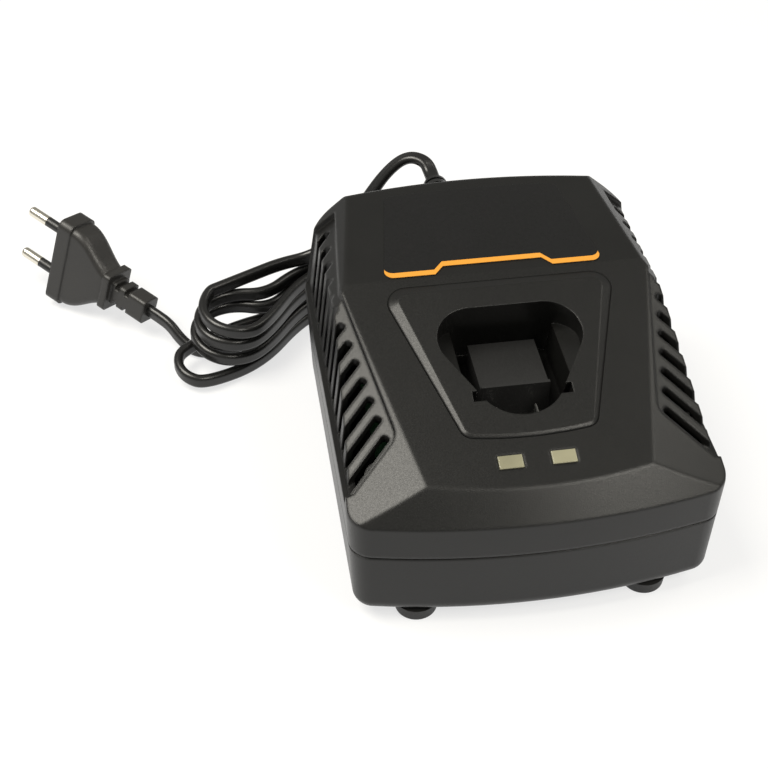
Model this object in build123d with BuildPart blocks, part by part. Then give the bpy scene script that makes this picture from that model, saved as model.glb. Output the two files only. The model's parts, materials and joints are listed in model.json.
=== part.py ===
"""Desktop charger for stick battery packs, in millimetres: x right, y to the rear, z up, feet on z = 0."""
from math import ceil, cos, pi, radians, sin, tan
import os

from build123d import *

os.makedirs("parts", exist_ok=True)

# Battery socket's bezel and the windows in front of it, which set the housing's front
bezel_origin = Vector(0, 3.0, 72.2)
bezel_slope = 0.3135
bezel_rear_half = 33.4
bezel_front_half = 19.3
bezel_length = 51.8
bezel_front_y = bezel_origin.Y - bezel_length / (1 + bezel_slope**2) ** 0.5
window_gap = 9.97
window_y = bezel_front_y - window_gap

# Housing
half_width = 57.3
window_margin = 16.6
front_y = window_y - window_margin
rear_y = 64.0
bow_radius = 242.0
front_corner_radius = 8.0
rear_corner_radius = 12.0
base_z = 4.5
parting_z = 30.0
crease_z = 42.5
form_top = 86.0
wall_lean = 8.0
base_draft = 2.5
wall = 2.6
base_edge_radius = 5.0
roof_edge_radius = 2.0
front_bevel_rise = 1.0
bevel_half_angle = 22.5
roof_slope = 0.2916
plateau_front = Vector(0, 10.3, 72.5)
plateau_slope = 0.07


def roof_at(y):
    """Height of the sloped roof at a given y."""
    return plateau_front.Z - roof_slope * (plateau_front.Y - y)


roof_front = Vector(0, front_y + 13.0, roof_at(front_y + 13.0))
shoulder_front = Vector(half_width - 23.2, front_y + 12.9, roof_at(front_y + 12.9))
shoulder_bend = Vector(half_width - 9.9, plateau_front.Y - 0.8, plateau_front.Z + 0.5)
shoulder_rear = Vector(half_width - 16.0, rear_y - 9.0, plateau_front.Z + 3.1)
crease_corner = Vector(half_width - 0.3, front_y + 7.0, crease_z)
bend_rear = Vector(half_width - 3.5, rear_y - 24.0, plateau_front.Z - 6.5)
seam_gap = 0.25
seam_depth = 0.9

# Side vents: the sunk field's upper edge (y, x from rear to front) and slots
vent_edge = [
    (rear_y - 13.0, half_width - 11.1),
    (plateau_front.Y - 0.8, half_width - 7.3),
    (front_y + 29.4, half_width - 17.6),
]
vent_depth = 1.4
vent_foot_z = crease_z + 1.1
vent_backing = 2.4
slot_count = 13
slot_first_y = rear_y - 23.2
slot_pitch = 7.8
slot_width = 4.0
slot_round = 1.1
slot_bend_x = half_width - 2.2
slot_slant = 0.88
slot_margin = 2.4
slot_floor_z = crease_z + 2.1
slot_step = 0.1
vent_front_corner = (half_width - 2.7, front_y + 16.6)
vent_corner_radius = 5.0

# Raised bezel and battery socket, drawn on the bezel's own sloped plane
bezel_bow = 1.6
bezel_corner = 3.0
bezel_skirt = 4.0
bezel_depth = 2.0
lobe_radius = 11.2
lobe_x = 11.5
lobe_y = -18.65
front_lobe_radius = 14.0
front_lobe_y = -33.2
notch_half_width = 15.3
notch_height = 3.6
notch_y = -39.4
well_wall = 2.0
well_floor_z = 44.0
pit_floor_z = 34.0
pit_rear_y = -27.5
ledge_inner_x = 16.5
ledge_top_z = 59.0
ledge_lean = 0.3
fit_gap = 0.3

# Contacts
tongue_half_width = 10.8
tongue_front_y = -26.2
tongue_rear_y = -3.4
tongue_top_z = 54.2
tongue_lip_height = 1.6
tongue_lip_depth = 1.2
blade_x = 6.2
blade_y = -31.0
blade_length = 6.0
blade_thickness = 0.8
blade_top_z = 49.0
blade_gap = 0.15

# Windows, label and feet
window_x = 8.0
window_width = 7.6
window_length = 4.6
window_flange = 1.0
window_proud = 0.25
label_thickness = 0.3
label_rear_half = 29.2
label_rear_y = rear_y - 12.1
label_rear_bow = 1.2
label_front_half = 35.4
label_front_y = plateau_front.Y + 0.4
label_step_outer = 19.0
label_step_inner = 16.0
label_step_y = label_front_y + 3.6
label_corner = 3.0
stripe_width = 2.2
stripe_thickness = 0.15
foot_x = half_width - 21.1
foot_front_y = front_y + 12.0
foot_rear_y = rear_y - 16.0
foot_radius = 7.0
foot_tip_radius = 6.5
foot_stem_radius = 2.5
foot_head_radius = 3.4
foot_head_height = 1.2
foot_gap = 0.15

# Boot, clamp and cord
cord_diameter = 4.4
boot_x = -8.0
boot_z = 64.5
boot_end_y = rear_y + 9.0
boot_root_radius = 6.4
boot_tip_radius = 4.2
boot_neck_radius = 4.5
boot_flange_radius = 6.4
boot_flange_y = rear_y - 9.5
boot_rib_count = 3
boot_rib_pitch = 3.2
boot_rib_gap = 1.3
boot_rib_depth = 1.0
boot_rib_growth = 0.4
boot_tip_length = 1.5
bore_gap = 0.15
clamp_y = rear_y - 15.5
clamp_half_width = 12.5
clamp_length = 7.0
clamp_thickness = 2.4
clamp_screw_x = 8.5
clamp_boss_radius = 3.2
tail_end_y = rear_y - 21.0
lead_radius = 0.9
lead_spacing = 2.3
lead_drop_y = tail_end_y - 3.4
lead_bend = 2.5

# Cord laid behind the charger: the route's points, and the hank's loops along its own axis
boot_exit = Vector(boot_x, boot_end_y, boot_z)
rear_points = [
    boot_exit + Vector(0, 7.0, 0),
    boot_exit + Vector(-1.5, 11.5, 3.0),
    boot_exit + Vector(-7.5, 15.0, 3.3),
    boot_exit + Vector(-15.5, 16.0, -1.5),
    boot_exit + Vector(-24.5, 15.0, -9.5),
    boot_exit + Vector(-31.0, 13.5, -19.0),
    boot_exit + Vector(-37.5, 14.0, -28.0),
    boot_exit + Vector(-45.0, 16.5, -35.0),
]
front_points = [
    (-17.7, 15.2, 8.9),
    (-16.6, 9.5, 5.2),
    (-14.4, 4.0, 2.5),
    (-9.0, -0.8, 2.25),
    (0.0, -3.0, 2.25),
    (12.0, -2.0, 2.25),
]
floor_clearance = 0.05
cord_arc_share = 0.45
hank_axis = 26.0
hank_centre = Vector(-half_width - 25.7, rear_y + 8.3)
hank_right = 66.0
hank_right_near = -8.0
hank_right_far = 12.0
hank_right_lead = 5.0
hank_waist_near = -3.0
hank_waist_far = 2.0
hank_waist_to = 42.0
hank_waist_from = 28.0
hank_bell = 3.0
hank_bend = 12.0
hank_start = 36.0
hank_lead_in = 12.0
hank_exit = 12.0
sample_step = 1.5
sample_reach = 18.0

# Left turns of the hank, from the floor up: end along the axis, near side, far side, climb
hank_turns = [
    (-17.0, -16.0, 1.0, 5.6),
    (-5.0, -17.0, 6.0, 7.1),
    (-3.5, -18.0, 5.0, 5.3),
    (-1.5, -18.5, 4.5, 5.3),
]

# Plug
plug_face = Vector(-half_width - 86.1, rear_y + 50.5, 19.1)
plug_out = Vector(-0.71, 0.68, 0.184)
plug_up = Vector(0.291, 0.046, 0.956)
plug_rim_width = 35.3
plug_rim_thickness = 13.7
plug_rim_depth = 6.0
plug_rim_step = 1.0
plug_shoulder_width = 29.5
plug_shoulder_thickness = 12.2
plug_shoulder_depth = 13.0
plug_hip_width = 18.0
plug_hip_thickness = 11.4
plug_hip_depth = 20.5
plug_waist_width = 13.0
plug_waist_thickness = 10.5
plug_waist_depth = 27.0
plug_plate_width = 15.0
plug_plate_thickness = 13.0
plug_plate_depth = 3.0
plug_relief_width = 9.6
plug_relief_thickness = 8.2
plug_relief_depth = 43.0
plug_slot_depth = 2.2
plug_slot_width = 2.0
plug_slot_pitch = 4.6
plug_slot_first = 2.8
plug_slot_count = 2
plug_corner = 3.0
pin_spacing = 18.6
pin_radius = 2.0
pin_core_radius = 1.5
pin_length = 19.0
pin_seat = 6.0
sleeve_radius = 1.95
sleeve_length = 10.0

# Circuit board and what it carries
board_z = 11.0
board_thickness = 1.6
board_width = 2 * half_width - 32.6
board_length = rear_y - front_y - 39.0
board_y = (front_y + rear_y) / 2 + 0.5
board_hole_x = board_width / 2 - 5.0
board_hole_y = board_length / 2 - 5.0
board_edge_x = board_width / 2
board_screw_radius = 1.2
board_screw_head = 2.4
board_screw_length = 5.0
standoff_radius = 3.2
transformer_y = rear_y - 42.0
transformer_width = 34.0
transformer_height = 30.0
transformer_depth = 14.0
transformer_leg = 11.0
transformer_yoke = 5.0
winding_width = 22.0
winding_depth = 26.0
winding_height = 19.0
winding_corner = 3.0
can_edge = 0.8
choke_x = board_edge_x - 12.0
choke_y = front_y + 37.0
choke_radius = 9.0
choke_bore_radius = 3.5
choke_height = 7.0
choke_edge = 2.0

# Upright cans on the board: x, y, radius, height
cans = {
    "mains_capacitor": (14.0 - board_edge_x, transformer_y - 28.0, 9.0, 25.0),
    "output_capacitor_1": (board_edge_x - 16.5, transformer_y - 34.0, 5.0, 16.0),
    "output_capacitor_2": (board_edge_x - 5.5, transformer_y - 34.0, 5.0, 16.0),
}

# Blocks on the board: x, y, width, length, height
blocks = {
    "heat_sink": (board_edge_x - 8.0, transformer_y - 2.0, 3.0, 28.0, 22.0),
    "switching_transistor": (board_edge_x - 11.75, transformer_y - 2.0, 4.5, 10.0, 15.0),
    "rectifier_bridge": (11.0 - board_edge_x, transformer_y - 14.0, 15.0, 4.0, 11.0),
    "control_chip": (21.0 - board_edge_x, front_y + 43.0, 10.0, 6.5, 2.0),
    "mains_fuse": (7.0 - board_edge_x, transformer_y + 2.0, 5.2, 20.0, 5.2),
}

# Inner frame and screws
indicator_drop = 9.0
indicator_width = 40.0
indicator_length = 12.0
indicator_boss_x = 16.5
indicator_boss_radius = 2.2
status_light_radius = 2.5
post_x = half_width - 10.8
post_front_y = front_y + 23.0
post_rear_y = rear_y - 24.0
post_radius = 4.0
column_radius = 5.0
column_top_z = 20.0
screw_radius = 1.5
screw_head_radius = 3.0
screw_head_height = 2.4
screw_seat_z = 11.0
screw_grip = 9.0
thread_gap = 0.1


def save(builder, name):
    """Label one finished piece and write it to its file."""
    builder.part.label = name
    export_step(builder.part, f"parts/{name}.step")


def facet(a, b, c):
    """Plane through three points, with its normal up and out."""
    normal = (b - a).cross(c - a).normalized()
    return Plane(origin=a, z_dir=normal if normal.Z > 0 else -normal)


def mirrored(plane):
    """The same facet on the left side."""
    o = plane.origin
    n = plane.z_dir
    return Plane(origin=(-o.X, o.Y, o.Z), z_dir=(-n.X, n.Y, n.Z))


roof_plane = Plane(origin=roof_front, x_dir=(1, 0, 0), z_dir=(0, -roof_slope, 1))
plateau_plane = Plane(origin=plateau_front, x_dir=(1, 0, 0), z_dir=(0, -plateau_slope, 1))
bezel_plane = Plane(origin=bezel_origin, x_dir=(1, 0, 0), z_dir=(0, -bezel_slope, 1))
right_facets = [
    facet(shoulder_front, shoulder_bend, crease_corner),
    facet(shoulder_bend, shoulder_rear, bend_rear),
]
side_plane = Plane(origin=(half_width, 0, crease_z), z_dir=(cos(radians(wall_lean)), 0, sin(radians(wall_lean))))
roof_facets = [roof_plane, plateau_plane] + right_facets + [mirrored(p) for p in right_facets]


on_floor = (Align.CENTER, Align.CENTER, Align.MIN)
hanging = (Align.CENTER, Align.CENTER, Align.MAX)


def along(plane_slope, start_y, y):
    """Distance up a sloped plane from its origin to the line at a given y."""
    return (y - start_y) * (1 + plane_slope**2) ** 0.5


def tube(path_edges, start, direction, radius):
    """Round tube along a path that begins at the start point."""
    with BuildPart() as part:
        with BuildLine():
            add(path_edges)
        with BuildSketch(Plane(origin=start, z_dir=direction)):
            Circle(radius)
        sweep()
    return part


# Housing
right_roof_edges = [
    (shoulder_front + shoulder_bend) / 2,
    (shoulder_bend + shoulder_rear) / 2,
    (shoulder_front + crease_corner) / 2,
]
left_roof_edges = [Vector(-p.X, p.Y, p.Z) for p in right_roof_edges]
roof_edges = right_roof_edges + left_roof_edges + [roof_front, Vector(0, rear_y, form_top)]


def nearest_edge(form, point):
    """The edge whose middle lies nearest to a point."""
    return min(form.edges(), key=lambda e: (e.center() - point).length)


def housing_form(inset):
    """Solid of the housing with every face moved in by the inset."""
    half = half_width - inset
    front = front_y + inset
    rear = rear_y - inset
    bow = bow_radius - inset
    sag = bow - (bow**2 - half**2) ** 0.5
    bevel_shift = inset * tan(radians(bevel_half_angle))
    axis_y = front_y + bow_radius
    top_radius = bow - (form_top - crease_z) * front_bevel_rise
    with BuildPart() as form:
        with BuildSketch(Plane.XY.offset(crease_z)) as plan:
            with BuildLine():
                ThreePointArc((-half, front + sag), (0, front), (half, front + sag))
                Line((half, front + sag), (half, rear - sag))
                ThreePointArc((half, rear - sag), (0, rear), (-half, rear - sag))
                Line((-half, rear - sag), (-half, front + sag))
            make_face()
            fillet(plan.vertices().sort_by(Axis.Y)[:2], front_corner_radius - inset)
            fillet(plan.vertices().sort_by(Axis.Y)[-2:], rear_corner_radius - inset)
        extrude(amount=form_top - crease_z, taper=wall_lean)
        extrude(plan.sketch, amount=-(crease_z - base_z - inset), taper=base_draft)
        fillet(form.faces().sort_by(Axis.Z)[0].edges(), base_edge_radius - inset)
        with BuildSketch(Plane.YZ):
            with BuildLine():
                Polyline(
                    (axis_y, 0),
                    (axis_y - bow, 0),
                    (axis_y - bow, crease_z - bevel_shift),
                    (axis_y - top_radius, form_top - bevel_shift),
                    (axis_y, form_top),
                    close=True,
                )
            make_face()
        revolve(axis=Axis((0, axis_y, 0), (0, 0, 1)), mode=Mode.INTERSECT)
        for plane in roof_facets:
            split(bisect_by=plane.offset(-inset), keep=Keep.BOTTOM)
        if inset == 0:
            fillet([nearest_edge(form, p) for p in roof_edges], roof_edge_radius)
    return form.part


def vent_recess(backing):
    """Sunk field of both side vents, or the same grown inward to back it with a wall."""
    foot_z = vent_foot_z - backing / 2
    with BuildPart() as core:
        with Locations((0, 0, foot_z)):
            Box(4 * half_width, 4 * rear_y, form_top, align=on_floor)
        for plane in right_facets + [side_plane]:
            split(bisect_by=plane.offset(-vent_depth - backing), keep=Keep.BOTTOM)
    with BuildPart() as recess:
        with BuildSketch(Plane.XY.offset(foot_z)) as field:
            with BuildLine():
                Polyline(
                    *[(x, y) for y, x in vent_edge],
                    vent_front_corner,
                    (half_width + 2 * wall, vent_front_corner[1]),
                    (half_width + 2 * wall, vent_edge[0][0]),
                    close=True,
                )
            make_face()
            inner_vertices = field.vertices().sort_by(Axis.X)
            fillet(inner_vertices[0], vent_corner_radius)
            if backing:
                offset(amount=backing, kind=Kind.INTERSECTION)
        extrude(amount=form_top)
        add(core.part, mode=Mode.SUBTRACT)
        mirror(about=Plane.YZ)
    return recess.part


def groove_x_at(y):
    """How far out the vent field's upper edge lies at a given y."""
    for (y0, x0), (y1, x1) in zip(vent_edge, vent_edge[1:]):
        if y1 <= y <= y0:
            return x0 + (x1 - x0) * (y0 - y) / (y0 - y1)
    return vent_edge[0][1] if y > vent_edge[0][0] else vent_edge[-1][1]


def slot_reach(y):
    """Length in x of a slot's slanted part, from the bend to near the field's edge."""
    reach = 0.0
    while slot_bend_x - reach > groove_x_at(y + slot_slant * reach) + slot_margin:
        reach += slot_step
    return reach


with BuildSketch(bezel_plane) as socket_outline:
    with Locations((lobe_x, lobe_y), (-lobe_x, lobe_y)):
        Circle(lobe_radius)
    with Locations((0, front_lobe_y)):
        Circle(front_lobe_radius)
    make_hull()
with BuildSketch(bezel_plane) as socket_cut:
    add(socket_outline.sketch_local)
    with Locations((0, notch_y)):
        Rectangle(2 * notch_half_width, notch_height)
with BuildSketch(bezel_plane) as well_outline:
    add(socket_cut.sketch_local)
    offset(amount=well_wall, kind=Kind.INTERSECTION)
with BuildSketch(bezel_plane) as well_opening:
    add(socket_cut.sketch_local)
    offset(amount=well_wall + fit_gap, kind=Kind.INTERSECTION)

outer_form = housing_form(0)
inner_form = housing_form(wall)
seam_form = housing_form(seam_depth)
posts = [(sx * post_x, y) for sx in (-1, 1) for y in (post_front_y, post_rear_y)]
board_holes = [(sx * board_hole_x, board_y + sy * board_hole_y) for sx in (-1, 1) for sy in (-1, 1)]
feet = {
    "foot_front_left": (-foot_x, foot_front_y),
    "foot_front_right": (foot_x, foot_front_y),
    "foot_rear_left": (-foot_x, foot_rear_y),
    "foot_rear_right": (foot_x, foot_rear_y),
}
windows = {"left": -window_x, "right": window_x}
window_along = along(roof_slope, roof_front.Y, window_y)
clamp_top_z = boot_z - cord_diameter / 2 - thread_gap
clamp_screws_at = [(boot_x - clamp_screw_x, clamp_y), (boot_x + clamp_screw_x, clamp_y)]
board_top_z = board_z + board_thickness
cord_radius = cord_diameter / 2
slot_square = slot_width * slot_slant / (1 + slot_slant**2) / 2

with BuildPart() as cavity:
    add(inner_form)
    add(vent_recess(vent_backing), mode=Mode.SUBTRACT)

with BuildPart() as seam_ring:
    add(outer_form)
    split(bisect_by=Plane.XY.offset(parting_z + seam_gap), keep=Keep.BOTTOM)
    split(bisect_by=Plane.XY.offset(parting_z - seam_gap), keep=Keep.TOP)
    add(seam_form, mode=Mode.SUBTRACT)

with BuildPart() as inner_bosses:
    with BuildSketch(Plane.XY.offset(column_top_z)):
        with Locations(*posts):
            Circle(post_radius)
    extrude(amount=form_top)
    with BuildSketch(Plane.XY.offset(clamp_top_z)):
        with Locations(*clamp_screws_at):
            Circle(clamp_boss_radius)
    extrude(amount=form_top)
    with BuildSketch(roof_plane.offset(-indicator_drop)):
        with Locations((-indicator_boss_x, window_along), (indicator_boss_x, window_along)):
            Circle(indicator_boss_radius)
    extrude(amount=2 * indicator_drop)
    add(cavity.part, mode=Mode.INTERSECT)

with BuildPart() as top_housing:
    add(outer_form)
    add(vent_recess(0), mode=Mode.SUBTRACT)
    add(cavity.part, mode=Mode.SUBTRACT)
    split(bisect_by=Plane.XY.offset(parting_z), keep=Keep.TOP)
    add(seam_ring.part, mode=Mode.SUBTRACT)
    for side in (-1, 1):
        with BuildSketch(Plane.XY.offset(slot_floor_z)) as slots:
            for k in range(slot_count):
                y = slot_first_y - slot_pitch * k
                low = y - slot_width / 2
                high = y + slot_width / 2
                low_reach = slot_reach(y) + slot_square
                high_reach = slot_reach(y) - slot_square
                with BuildLine():
                    Polyline(
                        (side * (half_width + wall), low),
                        (side * slot_bend_x, low),
                        (side * (slot_bend_x - low_reach), low + slot_slant * low_reach),
                        (side * (slot_bend_x - high_reach), high + slot_slant * high_reach),
                        (side * slot_bend_x, high),
                        (side * (half_width + wall), high),
                        close=True,
                    )
                make_face()
            fillet([v for v in slots.vertices() if abs(v.X) < slot_bend_x - slot_step], slot_round)
        extrude(amount=form_top - slot_floor_z, mode=Mode.SUBTRACT)
    add(inner_bosses.part)
    with Locations(*[(x, y, column_top_z) for x, y in posts]):
        Cylinder(screw_radius + thread_gap, screw_grip + 1, align=on_floor, mode=Mode.SUBTRACT)
    with Locations(*[(x, y, clamp_top_z) for x, y in clamp_screws_at]):
        Cylinder(board_screw_radius + thread_gap, clamp_thickness + screw_grip / 2, align=on_floor, mode=Mode.SUBTRACT)
    extrude(well_opening.sketch, amount=-form_top, mode=Mode.SUBTRACT)
    with BuildSketch(roof_plane):
        with Locations((-window_x, window_along), (window_x, window_along)):
            Rectangle(window_width, window_length)
    extrude(amount=wall + thread_gap, both=True, mode=Mode.SUBTRACT)
    with BuildSketch(Plane.XZ.offset(-rear_y)):
        with Locations((boot_x, boot_z)):
            Circle(boot_neck_radius + thread_gap)
    extrude(amount=rear_y - boot_flange_y, mode=Mode.SUBTRACT)
save(top_housing, "top_housing")

with BuildPart() as base_housing:
    add(outer_form)
    add(inner_form, mode=Mode.SUBTRACT)
    split(bisect_by=Plane.XY.offset(parting_z), keep=Keep.BOTTOM)
    add(seam_ring.part, mode=Mode.SUBTRACT)
    with BuildSketch(Plane.XY.offset(base_z + wall / 2)):
        with Locations(*posts):
            Circle(column_radius)
    extrude(amount=column_top_z - base_z - wall / 2)
    with BuildSketch(Plane.XY.offset(base_z + wall / 2)):
        with Locations(*board_holes):
            Circle(standoff_radius)
    extrude(amount=board_z - base_z - wall / 2)
    with Locations(*[(x, y, base_z) for x, y in posts]):
        Cylinder(screw_head_radius + fit_gap, screw_seat_z - base_z, align=on_floor, mode=Mode.SUBTRACT)
        Cylinder(screw_radius + fit_gap, column_top_z - base_z, align=on_floor, mode=Mode.SUBTRACT)
    with Locations(*[(x, y, board_z) for x, y in board_holes]):
        Cylinder(board_screw_radius + thread_gap, board_screw_length - board_thickness, align=hanging, mode=Mode.SUBTRACT)
    with Locations(*[(x, y, base_z) for x, y in feet.values()]):
        Cylinder(foot_stem_radius + foot_gap, wall, align=on_floor, mode=Mode.SUBTRACT)
save(base_housing, "base_housing")

# Battery well with its raised bezel
with BuildSketch(bezel_plane) as bezel_top:
    with BuildLine():
        Line((-bezel_rear_half, 0), (bezel_rear_half, 0))
        Line((bezel_rear_half, 0), (bezel_front_half, -bezel_length))
        ThreePointArc(
            (bezel_front_half, -bezel_length),
            (0, -bezel_length - bezel_bow),
            (-bezel_front_half, -bezel_length),
        )
        Line((-bezel_front_half, -bezel_length), (-bezel_rear_half, 0))
    make_face()
    fillet(bezel_top.vertices(), bezel_corner)
with BuildSketch(bezel_plane.offset(-bezel_depth)) as bezel_foot:
    add(bezel_top.sketch_local)
    offset(amount=bezel_skirt)

with BuildPart() as well_cavity:
    extrude(socket_cut.sketch, amount=-form_top)
    split(bisect_by=Plane.XY.offset(well_floor_z), keep=Keep.TOP)
with BuildPart() as pit_cavity:
    extrude(socket_cut.sketch, amount=-form_top)
    split(bisect_by=Plane.XY.offset(pit_floor_z), keep=Keep.TOP)
    split(bisect_by=Plane.XZ.offset(-pit_rear_y), keep=Keep.TOP)
with BuildPart() as under_floor:
    extrude(well_opening.sketch, amount=-form_top)
    split(bisect_by=Plane.XY.offset(well_floor_z - well_wall), keep=Keep.BOTTOM)
    split(bisect_by=Plane.XZ.offset(-pit_rear_y - well_wall), keep=Keep.BOTTOM)
with BuildPart() as ledge:
    add(well_cavity.part)
    split(bisect_by=Plane.YZ.offset(ledge_inner_x), keep=Keep.TOP)
    split(bisect_by=Plane(origin=(ledge_inner_x, 0, ledge_top_z), z_dir=(-ledge_lean, 0, 1)), keep=Keep.BOTTOM)
    mirror(about=Plane.YZ)

with BuildPart() as battery_well:
    loft(sections=[bezel_foot.sketch, bezel_top.sketch])
    split(bisect_by=roof_plane, keep=Keep.TOP)
    extrude(well_outline.sketch, amount=-form_top)
    split(bisect_by=Plane.XY.offset(pit_floor_z - well_wall), keep=Keep.TOP)
    add(under_floor.part, mode=Mode.SUBTRACT)
    add(well_cavity.part, mode=Mode.SUBTRACT)
    add(pit_cavity.part, mode=Mode.SUBTRACT)
    add(ledge.part)
    with Locations((-blade_x, blade_y, pit_floor_z), (blade_x, blade_y, pit_floor_z)):
        Box(blade_thickness + 2 * blade_gap, blade_length + 2 * blade_gap, 4 * well_wall, mode=Mode.SUBTRACT)
save(battery_well, "battery_well")

with BuildPart() as contact_carrier:
    tongue_length = tongue_rear_y - tongue_front_y
    with Locations((0, tongue_front_y + tongue_length / 2, well_floor_z)):
        Box(2 * tongue_half_width, tongue_length, tongue_top_z - well_floor_z, align=on_floor)
    with Locations((0, tongue_front_y + tongue_lip_depth / 2, tongue_top_z)):
        Box(2 * tongue_half_width, tongue_lip_depth, tongue_lip_height, align=on_floor)
save(contact_carrier, "contact_carrier")

for side, x in (("left", -blade_x), ("right", blade_x)):
    with BuildPart() as contact_blade:
        with Locations((x, blade_y, board_top_z)):
            Box(blade_thickness, blade_length, blade_top_z - board_top_z, align=on_floor)
        chamfer(contact_blade.faces().sort_by(Axis.Z)[-1].edges().filter_by(Axis.Y), blade_thickness / 3)
    save(contact_blade, f"contact_blade_{side}")

# Indicator windows, their lights and the small board below them
for side, x in windows.items():
    with BuildPart() as light_window:
        with BuildSketch(roof_plane.offset(window_proud)):
            with Locations((x, window_along)):
                Rectangle(window_width - 2 * thread_gap, window_length - 2 * thread_gap)
        extrude(amount=-(window_proud + wall + window_flange))
        chamfer(light_window.faces().sort_by(Axis.Z)[-1].edges(), window_proud / 2)
        with BuildSketch(roof_plane.offset(-wall)):
            with Locations((x, window_along)):
                Rectangle(window_width + 2 * window_flange, window_length + 2 * window_flange)
        extrude(amount=-window_flange)
    save(light_window, f"light_window_{side}")

    with BuildPart() as status_light:
        with BuildSketch(roof_plane.offset(-indicator_drop)):
            with Locations((x, window_along)):
                Circle(status_light_radius)
        extrude(amount=indicator_drop - wall - window_flange - fit_gap)
        fillet(status_light.edges().filter_by(GeomType.CIRCLE).sort_by(Axis.Z)[-1], status_light_radius * 0.8)
    save(status_light, f"status_light_{side}")

with BuildPart() as indicator_board:
    with BuildSketch(roof_plane.offset(-indicator_drop)):
        with Locations((0, window_along)):
            Rectangle(indicator_width, indicator_length)
    extrude(amount=-board_thickness)
save(indicator_board, "indicator_board")

# Label field and accent stripe
with BuildSketch(plateau_plane) as label_outline:
    rear = along(plateau_slope, plateau_front.Y, label_rear_y)
    front = along(plateau_slope, plateau_front.Y, label_front_y)
    step = along(plateau_slope, plateau_front.Y, label_step_y)
    with BuildLine():
        ThreePointArc((-label_rear_half, rear), (0, rear + label_rear_bow), (label_rear_half, rear))
        Polyline(
            (label_rear_half, rear),
            (label_front_half, front),
            (label_step_outer, front),
            (label_step_inner, step),
            (-label_step_inner, step),
            (-label_step_outer, front),
            (-label_front_half, front),
            (-label_rear_half, rear),
        )
    make_face()
    rear_corners = label_outline.vertices().group_by(Axis.Y)[-1]
    front_corners = label_outline.vertices().group_by(Axis.X)[0] + label_outline.vertices().group_by(Axis.X)[-1]
    fillet(rear_corners + front_corners, label_corner)
with BuildPart() as label_plate:
    extrude(label_outline.sketch, amount=label_thickness)
save(label_plate, "label_plate")

with BuildPart() as accent_stripe:
    with BuildSketch(plateau_plane.offset(label_thickness)) as stripe:
        add(label_outline.sketch_local)
        with Locations((0, stripe_width)):
            add(label_outline.sketch_local, mode=Mode.SUBTRACT)
    extrude(amount=stripe_thickness)
save(accent_stripe, "accent_stripe")

# Feet
for name, (x, y) in feet.items():
    with BuildPart() as foot:
        with Locations((x, y, 0)):
            Cone(foot_tip_radius, foot_radius, base_z, align=on_floor)
        with Locations((x, y, base_z)):
            Cylinder(foot_stem_radius, wall + foot_gap, align=on_floor)
        with Locations((x, y, base_z + wall + foot_gap)):
            Cone(foot_head_radius, foot_stem_radius, foot_head_height, align=on_floor)
        fillet(foot.edges().filter_by(GeomType.CIRCLE).sort_by(Axis.Z)[0], foot_gap * 5)
    save(foot, name)

# Boot, cord tail, clamp and leads
boot_plane = Plane(origin=(boot_x, boot_end_y, boot_z), x_dir=(1, 0, 0), z_dir=(0, 1, 0))
with BuildPart() as boot_outer:
    boot_span = boot_end_y - boot_flange_y
    with Locations(boot_plane):
        Cone(boot_root_radius, boot_tip_radius, boot_span, align=hanging)
    for k in range(boot_rib_count):
        with Locations(boot_plane.offset(-boot_tip_length - boot_rib_gap / 2 - k * boot_rib_pitch)):
            Cylinder(boot_root_radius, boot_rib_gap, mode=Mode.SUBTRACT)
            Cylinder(boot_tip_radius - boot_rib_depth + k * boot_rib_growth, boot_rib_gap)
    add(outer_form, mode=Mode.SUBTRACT)
with BuildPart() as boot_inner:
    with Locations(boot_plane.offset(-boot_span)):
        Cylinder(boot_flange_radius, rear_y - boot_flange_y, align=on_floor)
    add(inner_form, mode=Mode.INTERSECT)
with BuildPart() as strain_relief:
    add(boot_outer.part)
    add(boot_inner.part)
    with Locations(boot_plane.offset(-boot_span)):
        Cylinder(boot_neck_radius, boot_span - boot_rib_count * boot_rib_pitch - boot_tip_length, align=on_floor)
    with Locations(boot_plane):
        Cylinder(cord_radius + bore_gap, 2 * boot_span, mode=Mode.SUBTRACT)
save(strain_relief, "strain_relief")

with BuildPart() as cord_tail:
    with Locations(boot_plane):
        Cylinder(cord_radius, boot_end_y - tail_end_y, align=hanging)
save(cord_tail, "cord_tail")

with BuildPart() as cord_clamp:
    with Locations((boot_x, clamp_y, clamp_top_z)):
        Box(2 * clamp_half_width, clamp_length, clamp_thickness, align=hanging)
    with Locations(*[(x, y, clamp_top_z) for x, y in clamp_screws_at]):
        Cylinder(board_screw_radius + fit_gap, clamp_thickness, align=hanging, mode=Mode.SUBTRACT)
save(cord_clamp, "cord_clamp")

for side, offset_x in (("left", -lead_spacing / 2), ("right", lead_spacing / 2)):
    lead_x = boot_x + offset_x
    with BuildPart() as mains_lead:
        with BuildLine():
            FilletPolyline(
                (lead_x, tail_end_y, boot_z),
                (lead_x, lead_drop_y, boot_z),
                (lead_x, lead_drop_y, board_top_z),
                radius=lead_bend,
            )
        with BuildSketch(Plane(origin=(lead_x, tail_end_y, boot_z), z_dir=(0, -1, 0))):
            Circle(lead_radius)
        sweep()
    save(mains_lead, f"mains_lead_{side}")

# Screws
with BuildPart() as housing_screws:
    with Locations(*[(x, y, screw_seat_z) for x, y in posts]):
        Cylinder(screw_head_radius, screw_head_height, align=hanging)
        Cylinder(screw_radius, column_top_z - screw_seat_z + screw_grip, align=on_floor)
    with Locations(*[(x, y, screw_seat_z - screw_head_height) for x, y in posts]):
        Box(screw_head_radius, screw_radius / 2, screw_head_height / 2, align=on_floor, mode=Mode.SUBTRACT)
        Box(screw_radius / 2, screw_head_radius, screw_head_height / 2, align=on_floor, mode=Mode.SUBTRACT)
save(housing_screws, "housing_screws")

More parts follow.
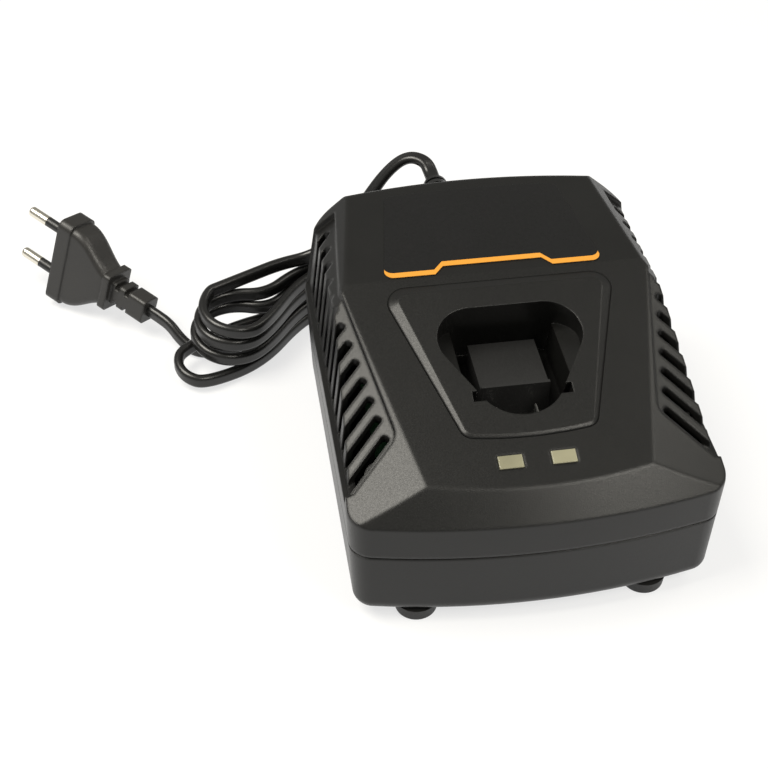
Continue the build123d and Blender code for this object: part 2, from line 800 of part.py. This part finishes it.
with BuildPart() as board_screws:
    with Locations(*[(x, y, board_top_z) for x, y in board_holes]):
        Cylinder(board_screw_head, board_thickness, align=on_floor)
        Cylinder(board_screw_radius, board_screw_length, align=hanging)
save(board_screws, "board_screws")

with BuildPart() as clamp_screws:
    with Locations(*[(x, y, clamp_top_z - clamp_thickness) for x, y in clamp_screws_at]):
        Cylinder(board_screw_head, board_thickness, align=hanging)
        Cylinder(board_screw_radius, clamp_thickness + screw_grip / 2, align=on_floor)
save(clamp_screws, "clamp_screws")

# Circuit board and its parts
with BuildPart() as circuit_board:
    with Locations((0, board_y, board_z)):
        Box(board_width, board_length, board_thickness, align=on_floor)
    with Locations(*[(x, y, board_z) for x, y in board_holes]):
        Cylinder(board_screw_radius + fit_gap, board_thickness, align=on_floor, mode=Mode.SUBTRACT)
save(circuit_board, "circuit_board")

window_span = (transformer_width - transformer_leg) / 2 - transformer_yoke
window_rise = transformer_height - 2 * transformer_yoke
with BuildPart() as transformer_core:
    with Locations((0, transformer_y, board_top_z)):
        Box(transformer_width, transformer_depth, transformer_height, align=on_floor)
    leg_offset = transformer_leg / 2 + window_span / 2
    for x in (-leg_offset, leg_offset):
        with Locations((x, transformer_y, board_top_z + transformer_yoke)):
            Box(window_span, transformer_depth, window_rise, align=on_floor, mode=Mode.SUBTRACT)
save(transformer_core, "transformer_core")

with BuildPart() as transformer_winding:
    with Locations((0, transformer_y, board_top_z + transformer_yoke)):
        Box(winding_width, winding_depth, winding_height, align=on_floor)
        Box(
            transformer_leg + 2 * thread_gap,
            transformer_depth + 2 * thread_gap,
            winding_height,
            align=on_floor,
            mode=Mode.SUBTRACT,
        )
    fillet(transformer_winding.edges().filter_by(Axis.Z).group_by(Axis.Y)[0], winding_corner)
    fillet(transformer_winding.edges().filter_by(Axis.Z).group_by(Axis.Y)[-1], winding_corner)
save(transformer_winding, "transformer_winding")

for name, (x, y, radius, height) in cans.items():
    with BuildPart() as can:
        with Locations((x, y, board_top_z)):
            Cylinder(radius, height, align=on_floor)
        fillet(can.edges().filter_by(GeomType.CIRCLE), can_edge)
    save(can, name)

for name, (x, y, width, length, height) in blocks.items():
    with BuildPart() as block:
        with Locations((x, y, board_top_z)):
            Box(width, length, height, align=on_floor)
    save(block, name)

with BuildPart() as choke_coil:
    with Locations((choke_x, choke_y, board_top_z)):
        Cylinder(choke_radius, choke_height, align=on_floor)
        Cylinder(choke_bore_radius, choke_height, align=on_floor, mode=Mode.SUBTRACT)
    fillet(choke_coil.edges().filter_by(GeomType.CIRCLE), choke_edge)
save(choke_coil, "choke_coil")


# Plug
plug_plane = Plane(origin=plug_face, x_dir=plug_up, z_dir=plug_out)
pins = {"upper": pin_spacing / 2, "lower": -pin_spacing / 2}
with BuildPart() as plug_body:
    with BuildSketch(plug_plane) as rim:
        RectangleRounded(plug_rim_width, plug_rim_thickness, plug_corner)
    extrude(amount=-plug_rim_depth)
    with BuildSketch(plug_plane.offset(-plug_rim_depth)):
        RectangleRounded(plug_rim_width - 2 * plug_rim_step, plug_rim_thickness - plug_rim_step, plug_corner)
    with BuildSketch(plug_plane.offset(-plug_shoulder_depth)):
        RectangleRounded(plug_shoulder_width, plug_shoulder_thickness, plug_corner)
    with BuildSketch(plug_plane.offset(-plug_hip_depth)):
        RectangleRounded(plug_hip_width, plug_hip_thickness, plug_corner)
    with BuildSketch(plug_plane.offset(-plug_waist_depth)):
        RectangleRounded(plug_waist_width, plug_waist_thickness, plug_corner)
    loft()
    with BuildSketch(plug_plane.offset(-plug_waist_depth)):
        RectangleRounded(plug_plate_width, plug_plate_thickness, plug_corner / 2)
    extrude(amount=plug_plate_depth)
    with BuildSketch(plug_plane.offset(-plug_waist_depth)):
        RectangleRounded(plug_relief_width, plug_relief_thickness, plug_corner / 2)
    extrude(amount=-(plug_relief_depth - plug_waist_depth))
    for k in range(plug_slot_count):
        depth = plug_waist_depth + plug_slot_first + plug_slot_pitch * k
        for side in (-1, 1):
            with Locations(plug_plane.offset(-depth)):
                with Locations((side * plug_relief_width / 2, 0)):
                    Box(2 * plug_slot_depth, plug_relief_thickness, plug_slot_width, mode=Mode.SUBTRACT)
    with Locations(plug_plane):
        with Locations(*[(x, 0) for x in pins.values()]):
            Cylinder(pin_core_radius + thread_gap, pin_seat, align=hanging, mode=Mode.SUBTRACT)
save(plug_body, "plug_body")
pin_axis = Axis(plug_face, plug_out)
for side, x in pins.items():
    with BuildPart() as plug_pin:
        with Locations(plug_plane):
            with Locations((x, 0)):
                Cylinder(pin_core_radius, pin_seat, align=hanging)
                Cylinder(pin_core_radius, sleeve_length, align=on_floor)
        with Locations(plug_plane.offset(sleeve_length)):
            with Locations((x, 0)):
                Cylinder(pin_radius, pin_length - sleeve_length, align=on_floor)
        fillet(plug_pin.edges().filter_by(GeomType.CIRCLE).sort_by(pin_axis)[-1], pin_radius * 0.6)
    save(plug_pin, f"plug_pin_{side}")

    with BuildPart() as pin_sleeve:
        with Locations(plug_plane):
            with Locations((x, 0)):
                Cylinder(sleeve_radius, sleeve_length, align=on_floor)
                Cylinder(pin_core_radius + thread_gap, sleeve_length, align=on_floor, mode=Mode.SUBTRACT)
    save(pin_sleeve, f"pin_sleeve_{side}")


# Cord
def hank_at(along_axis, across, z):
    """Point of the hank's own frame in the part's frame."""
    angle = radians(hank_axis)
    x = hank_centre.X + along_axis * cos(angle) - across * sin(angle)
    y = hank_centre.Y + along_axis * sin(angle) + across * cos(angle)
    return Vector(x, y, z)


def hank_side(turn_end, side, waist, right_side, level):
    """One side of the hank, from its right end over the waist to a left turn; returns edges in order."""
    return FilletPolyline(
        hank_at(hank_right, right_side, level),
        hank_at(hank_right - hank_right_lead, right_side, level),
        hank_at(hank_waist_to, waist, level),
        hank_at(hank_waist_from, waist, level),
        hank_at(hank_bell, side, level),
        hank_at(turn_end, side, level),
        radius=hank_bend,
    ).edges()


floor_z = cord_radius + floor_clearance
start = hank_at(hank_start, hank_waist_far, floor_z)
lane_turn = hank_at(hank_waist_to, hank_waist_far, floor_z)
right_radius = (hank_right_far - hank_right_near) / 2
level = floor_z
lane = FilletPolyline(
    start,
    lane_turn,
    hank_at(hank_right - hank_right_lead, hank_right_far, floor_z),
    hank_at(hank_right, hank_right_far, floor_z),
    radius=hank_bend,
)
hank_edges = list(lane.edges())
for k, (turn_end, near_side, far_side, climb) in enumerate(hank_turns):
    turn_radius = ((far_side - near_side) ** 2 + climb**2) ** 0.5 / 2
    hank_edges.append(
        ThreePointArc(
            hank_at(hank_right, hank_right_far, level),
            hank_at(hank_right + right_radius, hank_right_far - right_radius, level),
            hank_at(hank_right, hank_right_near, level),
        )
    )
    hank_edges += hank_side(turn_end, near_side, hank_waist_near, hank_right_near, level)
    hank_edges.append(
        ThreePointArc(
            hank_at(turn_end, near_side, level),
            hank_at(turn_end - turn_radius, (near_side + far_side) / 2, level + climb / 2),
            hank_at(turn_end, far_side, level + climb),
        )
    )
    level += climb
    if k < len(hank_turns) - 1:
        hank_edges += reversed(hank_side(turn_end, far_side, hank_waist_far, hank_right_far, level))
hank_edges.append(Line(hank_at(turn_end, far_side, level), hank_at(hank_exit, far_side, level)))
hank_direction = (lane_turn - start).normalized()
cord_hank = tube(hank_edges, start, hank_direction, cord_radius)
hank_length = sum(edge.length for edge in hank_edges)
print("hank", hank_length, cord_hank.part.volume / (pi * cord_radius**2), cord_hank.part.is_valid)
save(cord_hank, "cord_hank")

hank_samples = [start]
for edge in hank_edges:
    count = ceil(edge.length / sample_step)
    points = [edge.position_at(i / count) for i in range(count + 1)]
    backward = (points[-1] - hank_samples[-1]).length < (points[0] - hank_samples[-1]).length
    hank_samples += reversed(points) if backward else points
skip = ceil(sample_reach / sample_step)
least = min((p - q).length for i, p in enumerate(hank_samples) for q in hank_samples[i + skip :])
print("hank: least gap between its turns", round(least - cord_diameter, 2))


def cord_path(points):
    """Straight runs joined by the widest arcs that their lengths allow; returns edges."""
    radii = []
    for a, b, c in zip(points, points[1:], points[2:]):
        before = (b - a).length
        after = (c - b).length
        turn_angle = radians((b - a).get_angle(c - b))
        radii.append(cord_arc_share * min(before, after) / tan(turn_angle / 2))
    lengths = [round((b - a).length, 1) for a, b in zip(points, points[1:])]
    print("runs", lengths, "radii", [round(r, 1) for r in radii])
    return FilletPolyline(*points, radius=radii).edges()


rear_end = hank_at(hank_exit, far_side, level)
rear_before = hank_at(hank_exit + hank_lead_in, far_side, level)
rear_route = [boot_exit] + rear_points + [rear_before, rear_end]
cord_rear = tube(cord_path(rear_route), boot_exit, (0, 1, 0), cord_radius)
print("rear", cord_rear.part.is_valid, cord_rear.part.volume / (pi * cord_radius**2))
save(cord_rear, "cord_rear")

plug_exit = plug_face - plug_plane.z_dir * plug_relief_depth
front_lead = plug_exit - plug_plane.z_dir * cord_diameter
front_route = [plug_exit, front_lead] + [hank_at(*p) for p in front_points]
front_route += [hank_at(hank_start - hank_lead_in, hank_waist_far, floor_z), start]
cord_front = tube(cord_path(front_route), plug_exit, -plug_plane.z_dir, cord_radius)
print("front", cord_front.part.is_valid, cord_front.part.volume / (pi * cord_radius**2))
save(cord_front, "cord_front")
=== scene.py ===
"""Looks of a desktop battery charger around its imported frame: metres, x right, y to the rear, z up."""
import json
from math import cos, pi, radians, sin

import bmesh
import bpy
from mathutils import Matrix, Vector


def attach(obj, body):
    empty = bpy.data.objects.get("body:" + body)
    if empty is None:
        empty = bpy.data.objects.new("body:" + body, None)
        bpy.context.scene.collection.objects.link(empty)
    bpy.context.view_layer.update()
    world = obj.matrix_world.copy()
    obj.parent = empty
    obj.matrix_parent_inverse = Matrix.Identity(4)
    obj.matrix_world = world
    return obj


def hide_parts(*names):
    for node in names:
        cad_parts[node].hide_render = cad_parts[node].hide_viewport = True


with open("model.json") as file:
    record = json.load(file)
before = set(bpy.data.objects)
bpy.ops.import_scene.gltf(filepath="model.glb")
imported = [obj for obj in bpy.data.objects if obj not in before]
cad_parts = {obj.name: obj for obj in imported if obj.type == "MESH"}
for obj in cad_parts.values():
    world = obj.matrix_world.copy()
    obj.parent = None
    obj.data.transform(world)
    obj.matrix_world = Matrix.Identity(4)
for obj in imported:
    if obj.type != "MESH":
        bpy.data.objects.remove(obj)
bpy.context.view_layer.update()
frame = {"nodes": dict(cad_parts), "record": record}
nodes = frame["nodes"]
scene = bpy.context.scene
scene.view_settings.view_transform = "Standard"
MM = 0.001

# Camera, at the photograph's view
camera_place = (-0.09155, -0.3629, 0.35833)
camera_tilt = 48.92
camera_turn = -8.54
focal_pixels = 1500
frame_pixels = 768
sensor_width = 36
clip_start = 0.01

# Cord route in millimetres, from the strain relief to the plug; the points at the plug's end and
# the hank's sizes are in the hank's own frame: along its axis, across it, and height
boot_inside = (-8.0, 69.0, 64.5)
boot_exit = (-8.0, 73.0, 64.5)
rear_points = [
    (-8.0, 80.0, 64.5),
    (-9.5, 84.5, 67.5),
    (-15.5, 88.0, 67.8),
    (-22.5, 88.5, 62.0),
    (-30.0, 87.0, 52.0),
    (-36.0, 86.0, 42.0),
    (-43.0, 86.5, 33.0),
    (-51.5, 89.0, 26.4),
]
front_points = [
    (-17.7, 15.2, 8.9),
    (-16.6, 9.5, 5.2),
    (-14.4, 4.0, 2.75),
    (-9.0, -0.8, 2.65),
    (0.0, -3.0, 2.65),
    (12.0, -2.0, 2.65),
]
floor_level = 2.65
hank_axis = 26.0
hank_centre = (-83.0, 72.3)
hank_right = 66.0
hank_right_near = -8.0
hank_right_far = 12.0
hank_right_lead = 5.0
hank_waist_near = -3.0
hank_waist_far = 2.0
hank_waist_to = 42.0
hank_waist_from = 28.0
hank_bell = 3.0
hank_start = 36.0
hank_lead_in = 12.0
hank_exit = 12.0
hank_dip_at = 14.0
hank_dips = [-1.0, -5.0, -2.5]

# Left turns of the hank, from the floor up: end along the axis, near side, far side, climb
hank_turns = [
    (-17.0, -16.0, 1.0, 5.6),
    (-5.0, -17.0, 6.0, 7.1),
    (-3.5, -18.0, 5.0, 5.3),
    (-1.5, -18.5, 4.5, 5.3),
]
turn_points = 4

# Plug, where the cord ends, and the cord's section in millimetres
plug_face = Vector((-143.4, 114.5, 19.1))
plug_out = Vector((-0.71, 0.68, 0.184)).normalized()
plug_relief_depth = 43.0
plug_inside = 3.0
cord_width = 5.2
cord_thickness = 3.4
cord_groove = 0.16
core_steps = 8

# Cord: steps of its line between control points, and in metres the least step of its line and where it turns
# from flat to upright
cord_steps = 10
least_step = 0.00001
cord_flat_until = 0.03
cord_upright_from = 0.085

# Floor: its glow to the camera and in reflections grows from near to far, so that it stays white
floor_size = 400.0
floor_colour = (0.26, 0.26, 0.26, 1)
floor_glow_near = 0.70
floor_glow_far = 1.0
floor_near = 0.45
floor_far = 1.5
seen_rays = ("Is Glossy Ray", "Is Transmission Ray")

# Light: a dim sky, and the lamps' place, size and power
sky_colour = (1.0, 0.985, 0.94, 1)
sky_strength = 0.30
lamp_colour = (1.0, 0.965, 0.88)
lamp_aim = (0, 0, 0.04)
lamps = {
    "key": ((-0.50, -0.02, 0.92), 0.55, 12.0),
    "front": ((0.42, -0.55, 0.80), 0.40, 5.2),
    "side": ((0.66, 0.20, 0.82), 0.35, 1.6),
}

# Materials: noise detail of the fine grain and the slow drift, how much coarser the drift is,
# the noise values that span the range of roughness, and the samples of softened edges
fine_detail = 2.0
slow_detail = 3.0
slow_ratio = 40
noise_low = 0.3
noise_high = 0.7
edge_samples = 6


def link(name, data):
    """New object in the scene."""
    made = bpy.data.objects.new(name, data)
    scene.collection.objects.link(made)
    return made


def place_camera():
    """Camera with the photograph's place, direction and focal length."""
    data = bpy.data.cameras.new("camera")
    data.sensor_width = sensor_width
    data.lens = sensor_width * focal_pixels / frame_pixels
    data.clip_start = clip_start
    camera = link("camera", data)
    camera.location = camera_place
    camera.rotation_euler = (radians(camera_tilt), 0, radians(camera_turn))
    scene.camera = camera


def area_light(name, place, size, power):
    """Soft square lamp that looks at the object."""
    data = bpy.data.lights.new(name, "AREA")
    data.size = size
    data.energy = power
    data.color = lamp_colour
    lamp = link(name, data)
    lamp.location = place
    lamp.rotation_euler = (Vector(lamp_aim) - Vector(place)).to_track_quat("-Z", "Y").to_euler()


def light_scene():
    """Studio light: a broad key from the upper left, two weaker lamps from the right, and a dim sky."""
    for name, (place, size, power) in lamps.items():
        area_light(name, place, size, power)
    world = bpy.data.worlds.new("sky")
    scene.world = world
    world.use_nodes = True
    sky = world.node_tree.nodes["Background"]
    sky.inputs["Color"].default_value = sky_colour
    sky.inputs["Strength"].default_value = sky_strength


def build_floor():
    """Pale floor that stays white to the camera and keeps the object's soft shadow."""
    mesh = bpy.data.meshes.new("floor")
    half = floor_size / 2
    corners = [(-half, -half, 0), (half, -half, 0), (half, half, 0), (-half, half, 0)]
    mesh.from_pydata(corners, [], [(0, 1, 2, 3)])
    floor = link("floor", mesh)
    material = bpy.data.materials.new("floor")
    material.use_nodes = True
    tree = material.node_tree
    tree.nodes.clear()
    out = tree.nodes.new("ShaderNodeOutputMaterial")
    total = tree.nodes.new("ShaderNodeAddShader")
    diffuse = tree.nodes.new("ShaderNodeBsdfDiffuse")
    glow = tree.nodes.new("ShaderNodeEmission")
    path = tree.nodes.new("ShaderNodeLightPath")
    diffuse.inputs["Color"].default_value = floor_colour
    seen = path.outputs["Is Camera Ray"]
    for kind in seen_rays:
        either = tree.nodes.new("ShaderNodeMath")
        either.operation = "MAXIMUM"
        tree.links.new(seen, either.inputs[0])
        tree.links.new(path.outputs[kind], either.inputs[1])
        seen = either.outputs[0]
    place = tree.nodes.new("ShaderNodeTexCoord")
    distance = tree.nodes.new("ShaderNodeVectorMath")
    distance.operation = "LENGTH"
    tree.links.new(place.outputs["Object"], distance.inputs[0])
    growth = tree.nodes.new("ShaderNodeMapRange")
    growth.inputs["From Min"].default_value = floor_near
    growth.inputs["From Max"].default_value = floor_far
    growth.inputs["To Min"].default_value = floor_glow_near
    growth.inputs["To Max"].default_value = floor_glow_far
    tree.links.new(distance.outputs["Value"], growth.inputs["Value"])
    scale = tree.nodes.new("ShaderNodeMath")
    scale.operation = "MULTIPLY"
    tree.links.new(seen, scale.inputs[0])
    tree.links.new(growth.outputs["Result"], scale.inputs[1])
    tree.links.new(scale.outputs[0], glow.inputs["Strength"])
    tree.links.new(diffuse.outputs[0], total.inputs[0])
    tree.links.new(glow.outputs[0], total.inputs[1])
    tree.links.new(total.outputs[0], out.inputs["Surface"])
    mesh.materials.append(material)


class Maker:
    """Node tree of one procedural material, with a few short ways to add nodes."""

    def __init__(self, name):
        self.material = bpy.data.materials.new(name)
        self.material.use_nodes = True
        self.tree = self.material.node_tree
        self.shader = self.tree.nodes["Principled BSDF"]
        self.place = self.tree.nodes.new("ShaderNodeTexCoord").outputs["Object"]

    def add(self, kind, **settings):
        """New node with its plain settings."""
        node = self.tree.nodes.new(kind)
        for key, value in settings.items():
            setattr(node, key, value)
        return node

    def link(self, output, socket):
        """Link from an output to an input."""
        self.tree.links.new(output, socket)

    def noise(self, scale, detail):
        """Value noise from 0 to 1, at a scale in features a metre."""
        node = self.add("ShaderNodeTexNoise")
        node.inputs["Scale"].default_value = scale
        node.inputs["Detail"].default_value = detail
        self.link(self.place, node.inputs["Vector"])
        return node.outputs["Fac"]

    def spread(self, value, low, high):
        """A noise value stretched onto another range."""
        node = self.add("ShaderNodeMapRange")
        node.inputs["From Min"].default_value = noise_low
        node.inputs["From Max"].default_value = noise_high
        node.inputs["To Min"].default_value = low
        node.inputs["To Max"].default_value = high
        self.link(value, node.inputs["Value"])
        return node.outputs["Result"]

    def mix(self, factor, dark, pale):
        """Colour between two by a factor."""
        node = self.add("ShaderNodeMix", data_type="RGBA")
        colours = [s for s in node.inputs if s.type == "RGBA"]
        for socket, value in zip(colours, (dark, pale)):
            socket.default_value = (*value, 1)
        self.link(factor, node.inputs["Factor"])
        return [s for s in node.outputs if s.type == "RGBA"][0]

    def bump(self, height, depth, normal=None):
        """Bump of a depth in metres."""
        node = self.add("ShaderNodeBump")
        node.inputs["Distance"].default_value = depth
        self.link(height, node.inputs["Height"])
        if normal is not None:
            self.link(normal, node.inputs["Normal"])
        return node.outputs["Normal"]

    def rounded(self, radius):
        """Normal of the surface with its edges softened by a radius in metres."""
        node = self.add("ShaderNodeBevel", samples=edge_samples)
        node.inputs["Radius"].default_value = radius
        return node.outputs["Normal"]


def scaled(colour, factor):
    """A colour made darker or paler."""
    return tuple(min(1.0, c * factor) for c in colour)


def surface(
    name, colour, roughness, grain=2200, depth=0.00004, drift=0.2, spread=0.06, edge=0, **sockets
):
    """Material with slow drift in its colour, fine grain in bump and roughness, and softened edges if asked.

    Grain is in features a metre; depth and edge are in metres.
    """
    make = Maker(name)
    fine = make.noise(grain, fine_detail)
    slow = make.noise(grain / slow_ratio, slow_detail)
    tone = make.mix(slow, scaled(colour, 1 - drift), scaled(colour, 1 + drift))
    make.link(tone, make.shader.inputs["Base Color"])
    rough = make.spread(fine, roughness - spread, roughness + spread)
    make.link(rough, make.shader.inputs["Roughness"])
    normal = make.rounded(edge) if edge else None
    make.link(make.bump(fine, depth, normal), make.shader.inputs["Normal"])
    for key, value in sockets.items():
        make.shader.inputs[key.replace("_", " ")].default_value = value
    return make.material


slot_materials = {
    "housing": surface(
        "housing",
        (0.007, 0.007, 0.0066),
        0.36,
        grain=2400,
        depth=0.00002,
        edge=0.0014,
        Specular_IOR_Level=0.36,
    ),
    "bezel": surface(
        "bezel",
        (0.007, 0.007, 0.0066),
        0.36,
        grain=2400,
        depth=0.00002,
        edge=0.0006,
        Specular_IOR_Level=0.36,
    ),
    "carrier": surface("carrier", (0.014, 0.014, 0.014), 0.42, depth=0.00004),
    "label_film": surface(
        "label_film",
        (0.007, 0.007, 0.007),
        0.33,
        grain=900,
        depth=0.00001,
        edge=0.0005,
        Specular_IOR_Level=0.34,
    ),
    "accent": surface("accent", (0.62, 0.265, 0.03), 0.40, grain=1200, depth=0.00001, drift=0.06),
    "window": surface("window", (0.22, 0.21, 0.14), 0.20, depth=0.00001, drift=0.4, edge=0.0005),
    "foot_rubber": surface("foot_rubber", (0.014, 0.014, 0.014), 0.55, depth=0.00005),
    "cord_sheath": surface(
        "cord_sheath", (0.008, 0.008, 0.0078), 0.30, grain=1300, depth=0.000004, spread=0.03
    ),
    "plug_moulding": surface(
        "plug_moulding", (0.018, 0.0172, 0.016), 0.40, grain=1500, depth=0.00002, edge=0.0012
    ),
    "sleeve": surface("sleeve", (0.012, 0.012, 0.012), 0.35, depth=0.00001),
    "pin_metal": surface(
        "pin_metal",
        (0.80, 0.76, 0.66),
        0.24,
        grain=3000,
        depth=0.000003,
        drift=0.06,
        spread=0.02,
        Metallic=1.0,
    ),
    "contact_metal": surface("contact_metal", (0.80, 0.80, 0.78), 0.26, depth=0.00001, Metallic=1.0),
    "board": surface("board", (0.008, 0.032, 0.014), 0.35, grain=600, depth=0.00002),
    "ferrite": surface("ferrite", (0.05, 0.05, 0.055), 0.55, depth=0.00005),
    "winding_tape": surface("winding_tape", (0.72, 0.52, 0.06), 0.35, depth=0.00002),
    "copper_wire": surface("copper_wire", (0.62, 0.26, 0.10), 0.35, depth=0.0001, Metallic=0.8),
    "can_sleeve": surface("can_sleeve", (0.03, 0.045, 0.11), 0.32, depth=0.00001),
    "sink_metal": surface("sink_metal", (0.68, 0.69, 0.70), 0.38, depth=0.00003, Metallic=1.0),
    "chip_black": surface("chip_black", (0.02, 0.02, 0.02), 0.52, depth=0.00004),
    "fuse_ceramic": surface("fuse_ceramic", (0.70, 0.66, 0.56), 0.45, depth=0.00002),
    "light_lens": surface(
        "light_lens", (0.78, 0.80, 0.76), 0.18, depth=0.00001, Transmission_Weight=0.5
    ),
    "lead_insulation": surface("lead_insulation", (0.10, 0.22, 0.55), 0.40, depth=0.00002),
    "clamp_plastic": surface("clamp_plastic", (0.03, 0.03, 0.03), 0.48, depth=0.00004),
    "screw_steel": surface("screw_steel", (0.56, 0.56, 0.57), 0.34, depth=0.00003, Metallic=1.0),
}


def dress_nodes():
    """Give every CAD node the material of its slot."""
    for part in frame["record"]["subparts"]:
        mesh = nodes[part["node"]].data
        mesh.materials.clear()
        mesh.materials.append(slot_materials[part["material_slot"]])


def hank_at(along, across, z):
    """Point of the hank's own frame, in millimetres."""
    angle = radians(hank_axis)
    x = hank_centre[0] + along * cos(angle) - across * sin(angle)
    y = hank_centre[1] + along * sin(angle) + across * cos(angle)
    return (x, y, z)


def turn_at(end, near, far, level, rise, way):
    """Control points of a half turn from the near side to the far side.

    Way is -1 at the left end of the hank and 1 at the right.
    """
    radius = (far - near) / 2
    reach = radius / cos(pi / 2 / turn_points)
    made = []
    for k in range(turn_points):
        angle = pi * (k + 0.5) / turn_points
        along = end + way * reach * sin(angle)
        across = near + radius - reach * cos(angle)
        made.append(hank_at(along, across, level + rise * (k + 1) / turn_points))
    return made


def hank_side(side, waist, right_side, level, dip=None):
    """Control points of one side of the hank, from its right end over the waist to a left turn.

    A dip brings the strand into the middle between the waist and the turn.
    """
    corners = [
        (hank_right, right_side),
        (hank_right - hank_right_lead, right_side),
        (hank_waist_to, waist),
        (hank_waist_from, waist),
        (hank_bell, side),
    ]
    if dip is not None:
        corners.insert(-1, (hank_dip_at, dip))
    return [hank_at(along, across, level) for along, across in corners]


def hank_route():
    """Control points of the folded hank, from its end on the floor up to where the cord leaves it."""
    level = floor_level
    route = [
        hank_at(hank_start, hank_waist_far, level),
        hank_at(hank_waist_to, hank_waist_far, level),
        hank_at(hank_right - hank_right_lead, hank_right_far, level),
        hank_at(hank_right, hank_right_far, level),
    ]
    last = len(hank_turns) - 1
    for k, (turn_end, near_side, far_side, climb) in enumerate(hank_turns):
        route += reversed(turn_at(hank_right, hank_right_near, hank_right_far, level, 0, 1))
        route += hank_side(near_side, hank_waist_near, hank_right_near, level)
        route += turn_at(turn_end, near_side, far_side, level, climb, -1)
        level += climb
        if k < last:
            far = hank_side(far_side, hank_waist_far, hank_right_far, level, hank_dips[k])
            route += reversed(far)
    route.append(hank_at(turn_end, far_side, level))
    route.append(hank_at(hank_exit, far_side, level))
    return route


def cord_route():
    """Control points of the whole cord, from inside the strain relief to inside the plug, in metres."""
    top = floor_level + sum(climb for *_, climb in hank_turns)
    top_side = hank_turns[-1][2]
    plug_exit = plug_face - plug_out * plug_relief_depth
    route = [boot_inside, boot_exit, *rear_points]
    route.append(hank_at(hank_exit + hank_lead_in, top_side, top))
    route += reversed(hank_route())
    route.append(hank_at(hank_start - hank_lead_in, hank_waist_far, floor_level))
    route += [hank_at(*p) for p in reversed(front_points)]
    route += [plug_exit - plug_out * cord_width, plug_exit, plug_exit + plug_out * plug_inside]
    return [Vector(p) * MM for p in route]


def smooth_line(points, steps):
    """Points read from the NURBS spline that has the given control points."""
    curve = bpy.data.curves.new("route", "CURVE")
    curve.dimensions = "3D"
    curve.resolution_u = steps
    spline = curve.splines.new("NURBS")
    spline.points.add(len(points) - 1)
    for point, place in zip(spline.points, points):
        point.co = (*place, 1)
    spline.order_u = 3
    spline.use_endpoint_u = True
    carrier = bpy.data.objects.new("route", curve)
    mesh = bpy.data.meshes.new_from_object(carrier)
    line = []
    for vertex in mesh.vertices:
        if not line or (vertex.co - line[-1]).length > least_step:
            line.append(vertex.co.copy())
    bpy.data.objects.remove(carrier)
    bpy.data.curves.remove(curve)
    bpy.data.meshes.remove(mesh)
    return line


def cord_section():
    """Outline of the flat twin cord: two round cores side by side with a shallow groove between them."""
    radius = cord_thickness / 2
    shift = cord_width / 2 - radius
    outline = []
    for side, first in ((1, -90), (-1, 90)):
        for step in range(core_steps + 1):
            angle = radians(first + 180 * step / core_steps)
            outline.append((side * shift + radius * cos(angle), radius * sin(angle)))
        outline.append((0, side * (radius - cord_groove)))
    return outline


def smoothstep(value, start, end):
    """0 before start, 1 after end, smooth between."""
    share = max(0.0, min(1.0, (value - start) / (end - start)))
    return share * share * (3 - 2 * share)


def swept(name, line, outline, turn_of):
    """Closed mesh of an outline carried along a line.

    From the length so far, turn_of gives the outline's turn about the line.
    """
    bm = bmesh.new()
    rings = []
    travelled = 0.0
    for i, place in enumerate(line):
        before = line[max(i - 1, 0)]
        after = line[min(i + 1, len(line) - 1)]
        tangent = (after - before).normalized()
        level = tangent.cross(Vector((0, 0, 1))).normalized()
        upright = level.cross(tangent).normalized()
        travelled += (place - before).length
        turn = turn_of(travelled)
        wide = level * cos(turn) + upright * sin(turn)
        thick = tangent.cross(wide)
        rings.append([bm.verts.new(place + (wide * x + thick * y) * MM) for x, y in outline])
    count = len(outline)
    for ring, following in zip(rings, rings[1:]):
        for k in range(count):
            n = (k + 1) % count
            bm.faces.new((ring[k], ring[n], following[n], following[k]))
    bm.faces.new(rings[0])
    bm.faces.new(rings[-1])
    bmesh.ops.recalc_face_normals(bm, faces=bm.faces)
    mesh = bpy.data.meshes.new(name)
    bm.to_mesh(mesh)
    bm.free()
    for face in mesh.polygons:
        face.use_smooth = True
    return link(name, mesh)


def build_cord():
    """Flat mains cord along the route: level at the strain relief, on edge in the hank and at the plug."""
    line = smooth_line(cord_route(), cord_steps)
    cord = swept(
        "mains_cord",
        line,
        cord_section(),
        lambda s: pi / 2 * smoothstep(s, cord_flat_until, cord_upright_from),
    )
    cord.data.materials.append(slot_materials["cord_sheath"])
    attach(cord, "root")
    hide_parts("cord_rear", "cord_hank", "cord_front")


place_camera()
light_scene()
build_floor()
dress_nodes()
build_cord()
